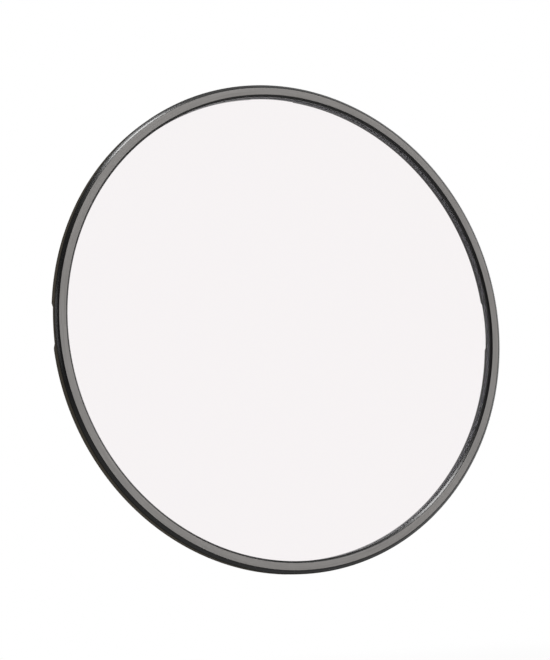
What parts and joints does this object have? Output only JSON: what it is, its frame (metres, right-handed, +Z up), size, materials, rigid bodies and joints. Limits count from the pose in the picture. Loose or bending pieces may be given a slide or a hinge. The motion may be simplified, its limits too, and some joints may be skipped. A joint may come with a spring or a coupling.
{
  "type": "magnetic lens protection filter",
  "caption": "Round clear protection filter for a camera lens: flat glass in a slim dark metal ring, with rear magnets that hold it on a lens adapter and nail notches to lift it off.",
  "frame": {"origin": "on the optical axis, in the plane of the rear face that seats on the lens adapter", "axes": "+Y along the optical axis towards the lens, so the front face looks to -Y; +Z up; nail notches on the X and Z axes"},
  "size_m": [0.086, 0.0027, 0.086],
  "materials": {
    "frame_anodise": "dark satin anodise, finely turned front face",
    "retainer_anodise": "black matt anodise",
    "clear_glass": "clear, polished, anti-reflection coated",
    "cushion_film": "black matt film",
    "magnet_plating": "satin nickel plate"
  },
  "bodies": {
    "root": {"frame_ring": "frame_anodise", "retaining_ring": "retainer_anodise", "glass_disc": "clear_glass", "glass_cushion": "cushion_film", "magnet_01": "magnet_plating", "magnet_02": "magnet_plating", "magnet_03": "magnet_plating", "magnet_04": "magnet_plating", "magnet_05": "magnet_plating", "magnet_06": "magnet_plating", "magnet_07": "magnet_plating", "magnet_08": "magnet_plating", "magnet_09": "magnet_plating", "magnet_10": "magnet_plating", "magnet_11": "magnet_plating", "magnet_12": "magnet_plating", "magnet_13": "magnet_plating", "magnet_14": "magnet_plating", "magnet_15": "magnet_plating", "magnet_16": "magnet_plating", "magnet_17": "magnet_plating", "magnet_18": "magnet_plating", "magnet_19": "magnet_plating", "magnet_20": "magnet_plating"}
  },
  "joints": []
}
